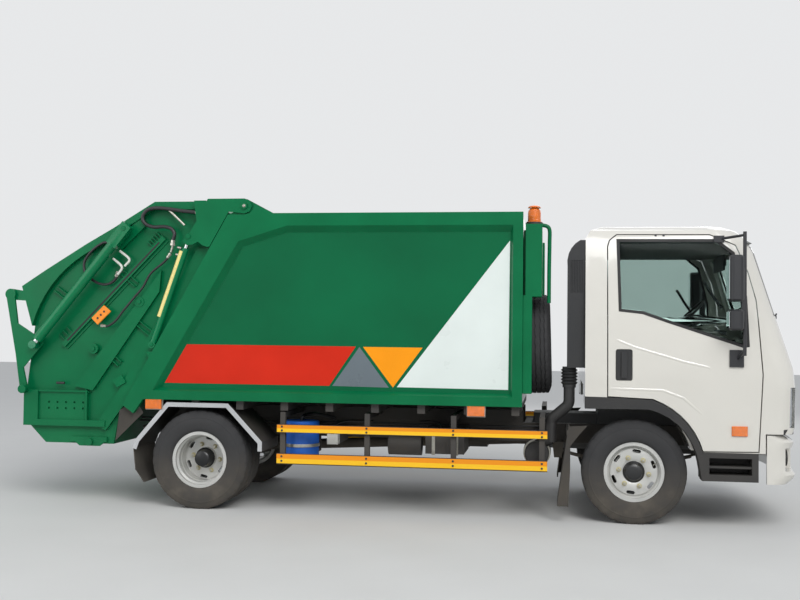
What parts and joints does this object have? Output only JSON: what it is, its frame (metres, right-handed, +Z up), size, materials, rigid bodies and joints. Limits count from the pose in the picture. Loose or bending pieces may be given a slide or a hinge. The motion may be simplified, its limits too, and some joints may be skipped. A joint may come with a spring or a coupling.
{
  "type": "rear-loading garbage truck",
  "caption": "Small cab-over truck with a closed refuse body, a lifting tailgate with packing blades and a rear bin lift with side cylinders.",
  "frame": {"origin": "on the ground, at the middle of the truck's length and width", "axes": "+X forward, +Y to the left, +Z up"},
  "size_m": [6.249, 2.39, 2.446],
  "materials": {
    "chassis_black": "dusty black chassis paint",
    "forged_black": "cast and forged, dull black",
    "engine_grey": "rough cast",
    "tank_grey": "satin",
    "equipment_mixed": "satin",
    "black_plastic": "moulded, matt",
    "guard_yellow": "semi-gloss",
    "sheet_black": "folded sheet, satin",
    "flap_rubber": "matt",
    "body_green": "semi-gloss",
    "panel_white": "semi-gloss",
    "tyre_black": "matt",
    "rim_silver": "satin silver",
    "lamp_amber": "clear lens over amber",
    "hydraulic_green": "semi-gloss",
    "rod_chrome": "polished",
    "cab_white": "gloss",
    "window_glass": "tinted",
    "lamp_red": "red lens",
    "lamp_clear": "clear lens",
    "interior_grey": "grained",
    "seat_fabric": "woven",
    "mirror_black": "moulded"
  },
  "bodies": {
    "truck": {"chassis_frame": "chassis_black", "cross_members": "chassis_black", "sub_frame": "chassis_black", "front_axle": "forged_black", "rear_axle_and_shaft": "forged_black", "leaf_springs": "forged_black", "engine": "engine_grey", "fuel_tank": "tank_grey", "side_equipment": "equipment_mixed", "air_cleaner": "black_plastic", "guard_rails": "guard_yellow", "guard_posts": "chassis_black", "rear_fenders": "sheet_black", "mudflaps": "flap_rubber", "front_mudguards": "flap_rubber", "body_shell": "panel_white", "body_frame": "body_green", "oil_tank": "body_green", "spare_tyre": "tyre_black", "spare_rim": "rim_silver", "marker_lamps": "lamp_amber", "bumper": "cab_white"},
    "ejector": {"ejector_panel": "body_green"},
    "tailgate": {"tailgate_walls": "body_green", "tailgate_roof": "body_green", "hopper_floor": "body_green", "tailgate_frames": "body_green", "tail_lamps": "lamp_red", "packing_cylinders": "hydraulic_green"},
    "carriage": {"carriage": "body_green"},
    "sweep_blade": {"sweep_blade": "body_green"},
    "lift_barrels": {"lift_barrels": "hydraulic_green"},
    "lift_rods": {"lift_rods": "rod_chrome"},
    "bin_barrels": {"bin_lift_barrels": "hydraulic_green"},
    "bin_rods": {"bin_lift_rods": "rod_chrome"},
    "bin_arms": {"bin_lift_arms": "body_green"},
    "cab": {"cab_shell": "cab_white", "cab_windows": "window_glass", "cab_trim": "black_plastic", "cab_lamps": "lamp_clear", "dashboard": "interior_grey", "seats": "seat_fabric", "air_duct": "black_plastic"},
    "door_right": {"door_right": "cab_white", "door_glass_right": "window_glass", "mirror_right": "mirror_black"},
    "door_left": {"door_left": "cab_white", "door_glass_left": "window_glass", "mirror_left": "mirror_black"},
    "knuckle_right": {"knuckle_right": "forged_black"},
    "knuckle_left": {"knuckle_left": "forged_black"},
    "front_wheel_right": {"front_tyre_right": "tyre_black", "front_rim_right": "rim_silver"},
    "front_wheel_left": {"front_tyre_left": "tyre_black", "front_rim_left": "rim_silver"},
    "rear_wheels_right": {"rear_tyres_right": "tyre_black", "rear_rims_right": "rim_silver"},
    "rear_wheels_left": {"rear_tyres_left": "tyre_black", "rear_rims_left": "rim_silver"},
    "tie_rod": {"tie_rod": "forged_black"}
  },
  "joints": [
    {"name": "steer_right", "type": "hinge", "parent": "truck", "child": "knuckle_right", "pos_m": [1.8955, -0.69, 0.3875], "axis": [0, 0, 1], "range_deg": [-35, 35]},
    {"name": "front_wheel_right_spin", "type": "hinge", "parent": "knuckle_right", "child": "front_wheel_right", "pos_m": [1.8955, -0.82, 0.3875], "axis": [0, 1, 0], "continuous": true},
    {"name": "rear_wheels_right_spin", "type": "hinge", "parent": "truck", "child": "rear_wheels_right", "pos_m": [-1.4645, -0.744, 0.3875], "axis": [0, 1, 0], "continuous": true},
    {"name": "steer_left", "type": "hinge", "parent": "truck", "child": "knuckle_left", "pos_m": [1.8955, 0.69, 0.3875], "axis": [0, 0, 1], "range_deg": [-35, 35]},
    {"name": "front_wheel_left_spin", "type": "hinge", "parent": "knuckle_left", "child": "front_wheel_left", "pos_m": [1.8955, 0.82, 0.3875], "axis": [0, 1, 0], "continuous": true},
    {"name": "rear_wheels_left_spin", "type": "hinge", "parent": "truck", "child": "rear_wheels_left", "pos_m": [-1.4645, 0.744, 0.3875], "axis": [0, 1, 0], "continuous": true},
    {"name": "tie_rod_pivot", "type": "hinge", "parent": "knuckle_left", "child": "tie_rod", "pos_m": [1.7455, 0.69, 0.2895], "axis": [0, 0, 1], "range_deg": [-35, 35]},
    {"name": "cab_tilt", "type": "hinge", "parent": "truck", "child": "cab", "pos_m": [3.0655, 0, 0.72], "axis": [0, 1, 0], "range_deg": [0, 45]},
    {"name": "door_right_swing", "type": "hinge", "parent": "cab", "child": "door_right", "pos_m": [2.8015, -1.001, 1.3], "axis": [0, 0, 1], "range_deg": [0, 70]},
    {"name": "door_left_swing", "type": "hinge", "parent": "cab", "child": "door_left", "pos_m": [2.8015, 1.001, 1.3], "axis": [0, 0, -1], "range_deg": [0, 70]},
    {"name": "tailgate_lift", "type": "hinge", "parent": "truck", "child": "tailgate", "pos_m": [-1.1075, 0, 2.387], "axis": [0, 1, 0], "range_deg": [0, 80]},
    {"name": "lift_barrels_tilt", "type": "hinge", "parent": "truck", "child": "lift_barrels", "pos_m": [-1.8565, 0, 1.29], "axis": [0, 1, 0], "range_deg": [-2.65, 0]},
    {"name": "lift_rods_slide", "type": "slide", "parent": "lift_barrels", "child": "lift_rods", "axis": [0.3215, 0, 0.9469], "range_m": [0, 0.66092]},
    {"name": "bin_lift", "type": "hinge", "parent": "tailgate", "child": "bin_arms", "pos_m": [-3.0815, 0, 1.686], "axis": [0, 1, 0], "range_deg": [0, 80]},
    {"name": "bin_barrels_tilt", "type": "hinge", "parent": "tailgate", "child": "bin_barrels", "pos_m": [-2.0895, 0, 2.21], "axis": [0, 1, 0], "range_deg": [0, 19.84]},
    {"name": "bin_rods_slide", "type": "slide", "parent": "bin_barrels", "child": "bin_rods", "axis": [-0.6324, 0, -0.7747], "range_m": [0, 0.38227]},
    {"name": "carriage_slide", "type": "slide", "parent": "tailgate", "child": "carriage", "axis": [-0.693, 0, -0.721], "range_m": [0, 0.58]},
    {"name": "sweep", "type": "hinge", "parent": "carriage", "child": "sweep_blade", "pos_m": [-2.00355, 0, 1.4681], "axis": [0, 1, 0], "range_deg": [0, 65]},
    {"name": "ejector_slide", "type": "slide", "parent": "truck", "child": "ejector", "axis": [-1, 0, 0], "range_m": [0, 2.1]}
  ],
  "couplings": [
    {"joint": "steer_right", "follows": "steer_left", "ratio": 1},
    {"joint": "tie_rod_pivot", "follows": "steer_left", "ratio": -1},
    {"joint": "lift_barrels_tilt", "follows": "tailgate_lift", "ratio": -0.03248},
    {"joint": "lift_rods_slide", "follows": "tailgate_lift", "m_per_rad": 0.4724},
    {"joint": "bin_barrels_tilt", "follows": "bin_lift", "ratio": 0.24312},
    {"joint": "bin_rods_slide", "follows": "bin_lift", "m_per_rad": 0.27324}
  ]
}
